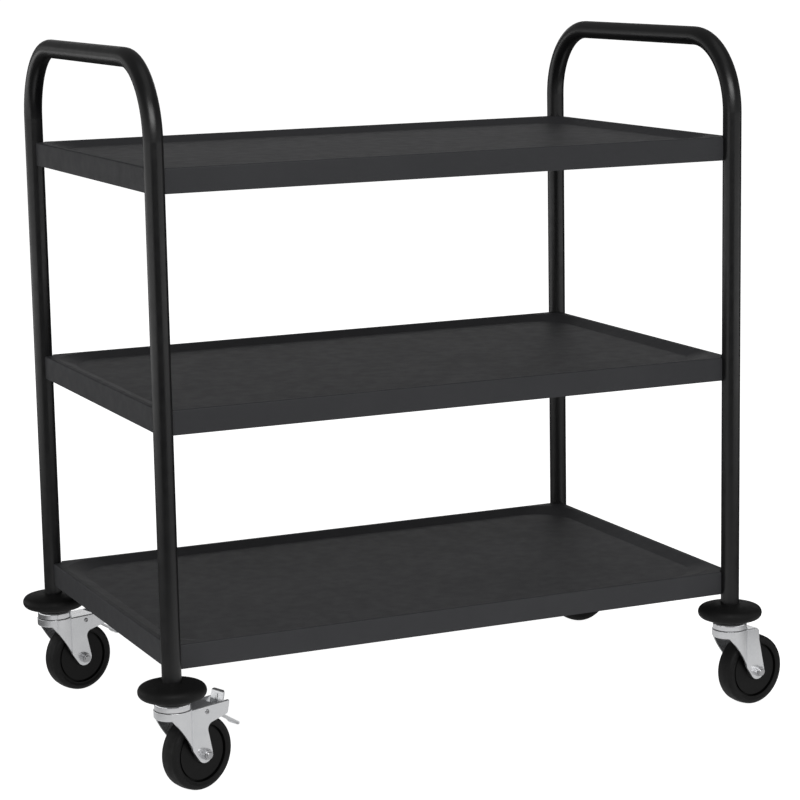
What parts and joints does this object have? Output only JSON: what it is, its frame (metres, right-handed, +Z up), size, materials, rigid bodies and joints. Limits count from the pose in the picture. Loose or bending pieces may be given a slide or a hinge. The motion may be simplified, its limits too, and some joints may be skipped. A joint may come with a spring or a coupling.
{
  "type": "rolling utility cart",
  "caption": "Serving trolley: recessed sheet trays between bent-tube end frames with push handles, round corner bumpers, swivel casters and foot brakes at one end.",
  "frame": {"origin": "on the floor under the centre of the cart's bounding box, with every caster trailing towards +X", "axes": "+X along the trays' long side towards the end without brakes, +Y from the front towards the back, +Z up"},
  "size_m": [0.9574, 0.602, 0.9482],
  "materials": {
    "frame_powder_coat": "satin black powder coat on steel tube",
    "tray_powder_coat": "matte charcoal black powder coat on steel sheet",
    "black_bolts": "black oxide",
    "plain_steel": "zinc plated",
    "bumper_rubber": "matte black rubber",
    "zinc_hardware": "bright zinc plated",
    "bright_race": "polished bright plate",
    "bearing_steel": "ground bearing steel",
    "zinc_fork": "bright zinc plated pressing",
    "wheel_plastic": "black moulded polypropylene",
    "tyre_rubber": "matte black rubber tread",
    "zinc_pedal": "bright zinc plated pressing",
    "spring_steel": "blued spring steel"
  },
  "bodies": {
    "cart_frame": {"left_end_frame": "frame_powder_coat", "right_end_frame": "frame_powder_coat", "left_frame_inserts": "plain_steel", "right_frame_inserts": "plain_steel", "bottom_tray": "tray_powder_coat", "middle_tray": "tray_powder_coat", "top_tray": "tray_powder_coat", "bottom_tray_bolts": "black_bolts", "middle_tray_bolts": "black_bolts", "top_tray_bolts": "black_bolts", "leg_plugs": "plain_steel", "front_left_bumper": "bumper_rubber", "front_left_stem": "zinc_hardware", "front_left_upper_race": "bright_race", "front_left_lower_race": "bright_race", "back_left_bumper": "bumper_rubber", "back_left_stem": "zinc_hardware", "back_left_upper_race": "bright_race", "back_left_lower_race": "bright_race", "front_right_bumper": "bumper_rubber", "front_right_stem": "zinc_hardware", "front_right_upper_race": "bright_race", "front_right_lower_race": "bright_race", "back_right_bumper": "bumper_rubber", "back_right_stem": "zinc_hardware", "back_right_upper_race": "bright_race", "back_right_lower_race": "bright_race"},
    "front_left_swivel": {"front_left_fork": "zinc_fork", "front_left_bearing_balls": "bearing_steel", "front_left_axle_bolt": "zinc_hardware", "front_left_axle_sleeve": "zinc_hardware", "front_left_brake_rivet": "zinc_hardware", "front_left_brake_spring": "spring_steel"},
    "front_left_wheel": {"front_left_wheel_core": "wheel_plastic", "front_left_tyre": "tyre_rubber"},
    "front_left_brake": {"front_left_brake_pedal": "zinc_pedal"},
    "back_left_swivel": {"back_left_fork": "zinc_fork", "back_left_bearing_balls": "bearing_steel", "back_left_axle_bolt": "zinc_hardware", "back_left_axle_sleeve": "zinc_hardware", "back_left_brake_rivet": "zinc_hardware", "back_left_brake_spring": "spring_steel"},
    "back_left_wheel": {"back_left_wheel_core": "wheel_plastic", "back_left_tyre": "tyre_rubber"},
    "back_left_brake": {"back_left_brake_pedal": "zinc_pedal"},
    "front_right_swivel": {"front_right_fork": "zinc_fork", "front_right_bearing_balls": "bearing_steel", "front_right_axle_bolt": "zinc_hardware", "front_right_axle_sleeve": "zinc_hardware"},
    "front_right_wheel": {"front_right_wheel_core": "wheel_plastic", "front_right_tyre": "tyre_rubber"},
    "back_right_swivel": {"back_right_fork": "zinc_fork", "back_right_bearing_balls": "bearing_steel", "back_right_axle_bolt": "zinc_hardware", "back_right_axle_sleeve": "zinc_hardware"},
    "back_right_wheel": {"back_right_wheel_core": "wheel_plastic", "back_right_tyre": "tyre_rubber"}
  },
  "joints": [
    {"name": "front_left_swivel_turn", "type": "hinge", "parent": "cart_frame", "child": "front_left_swivel", "pos_m": [-0.43424, -0.2565, 0.1125], "axis": [0, 0, 1], "continuous": true},
    {"name": "front_left_wheel_spin", "type": "hinge", "parent": "front_left_swivel", "child": "front_left_wheel", "pos_m": [-0.39947, -0.24385, 0.05], "axis": [-0.342, 0.9397, 0], "continuous": true},
    {"name": "front_left_brake_press", "type": "hinge", "parent": "front_left_swivel", "child": "front_left_brake", "pos_m": [-0.39477, -0.24213, 0.105], "axis": [-0.342, 0.9397, 0], "range_deg": [0, 8]},
    {"name": "back_left_swivel_turn", "type": "hinge", "parent": "cart_frame", "child": "back_left_swivel", "pos_m": [-0.43424, 0.2565, 0.1125], "axis": [0, 0, 1], "continuous": true},
    {"name": "back_left_wheel_spin", "type": "hinge", "parent": "back_left_swivel", "child": "back_left_wheel", "pos_m": [-0.3985, 0.26608, 0.05], "axis": [-0.2588, 0.9659, 0], "continuous": true},
    {"name": "back_left_brake_press", "type": "hinge", "parent": "back_left_swivel", "child": "back_left_brake", "pos_m": [-0.39367, 0.26737, 0.105], "axis": [-0.2588, 0.9659, 0], "range_deg": [0, 8]},
    {"name": "front_right_swivel_turn", "type": "hinge", "parent": "cart_frame", "child": "front_right_swivel", "pos_m": [0.39176, -0.2565, 0.1125], "axis": [0, 0, 1], "continuous": true},
    {"name": "front_right_wheel_spin", "type": "hinge", "parent": "front_right_swivel", "child": "front_right_wheel", "pos_m": [0.4282, -0.25007, 0.05], "axis": [-0.1736, 0.9848, 0], "continuous": true},
    {"name": "back_right_swivel_turn", "type": "hinge", "parent": "cart_frame", "child": "back_right_swivel", "pos_m": [0.39176, 0.2565, 0.1125], "axis": [0, 0, 1], "continuous": true},
    {"name": "back_right_wheel_spin", "type": "hinge", "parent": "back_right_swivel", "child": "back_right_wheel", "pos_m": [0.42874, 0.25779, 0.05], "axis": [-0.0349, 0.9994, 0], "continuous": true}
  ]
}
